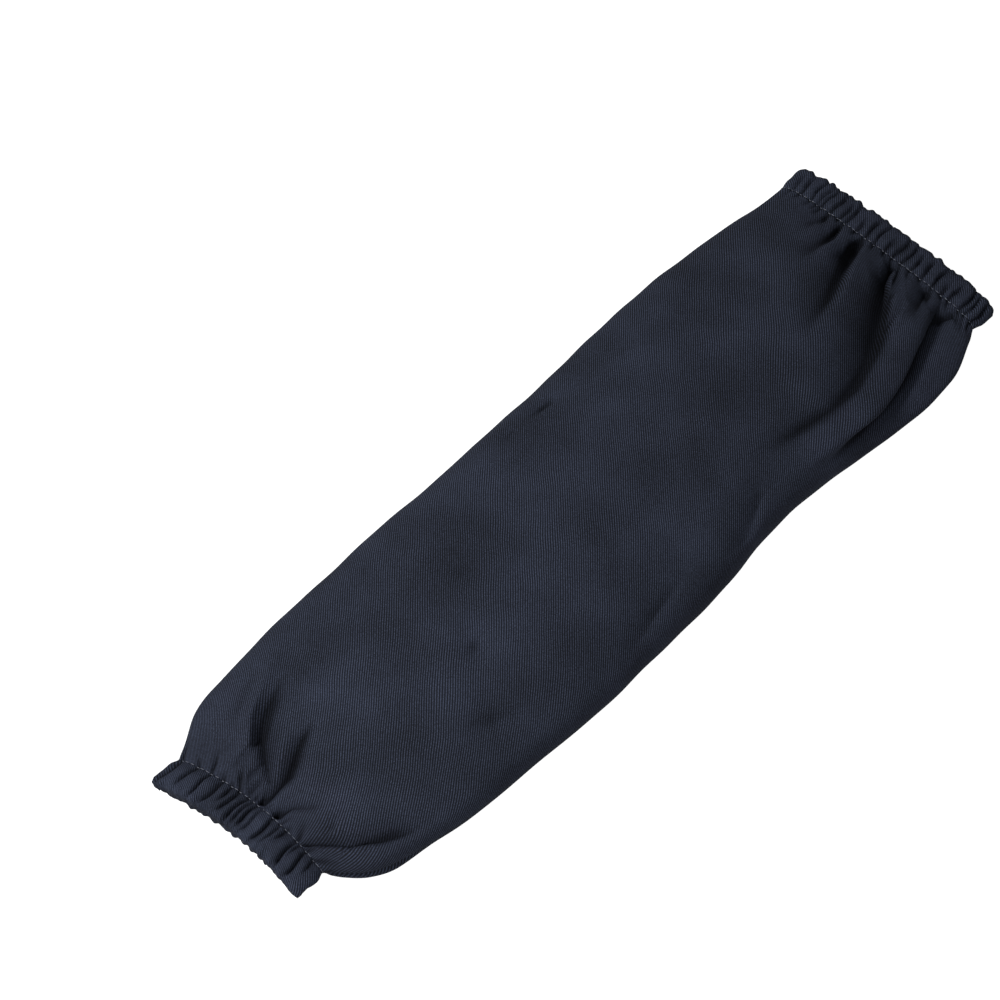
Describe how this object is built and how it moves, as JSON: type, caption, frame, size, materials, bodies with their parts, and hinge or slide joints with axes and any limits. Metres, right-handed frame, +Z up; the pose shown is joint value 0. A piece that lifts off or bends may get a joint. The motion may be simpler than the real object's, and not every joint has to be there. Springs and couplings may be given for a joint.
{
  "type": "welding sleeve",
  "caption": "Puffed cotton twill tube for a welder's forearm, gathered by elastic in a turned hem at the wrist and at the upper arm, lying flat.",
  "frame": {"origin": "middle of the surface that the sleeve lies on, below the middle of its length and width", "axes": "+X along the sleeve from the wrist end to the upper arm end, +Y to the left seen from the wrist end, +Z up"},
  "size_m": [0.462, 0.1436, 0.0382],
  "materials": {
    "navy_twill": "matt navy cotton twill",
    "woven_elastic": "woven elastic band"
  },
  "bodies": {
    "root": {"sleeve_body": "navy_twill", "wrist_cuff": "navy_twill", "arm_cuff": "navy_twill", "wrist_elastic": "woven_elastic", "arm_elastic": "woven_elastic"}
  },
  "joints": []
}
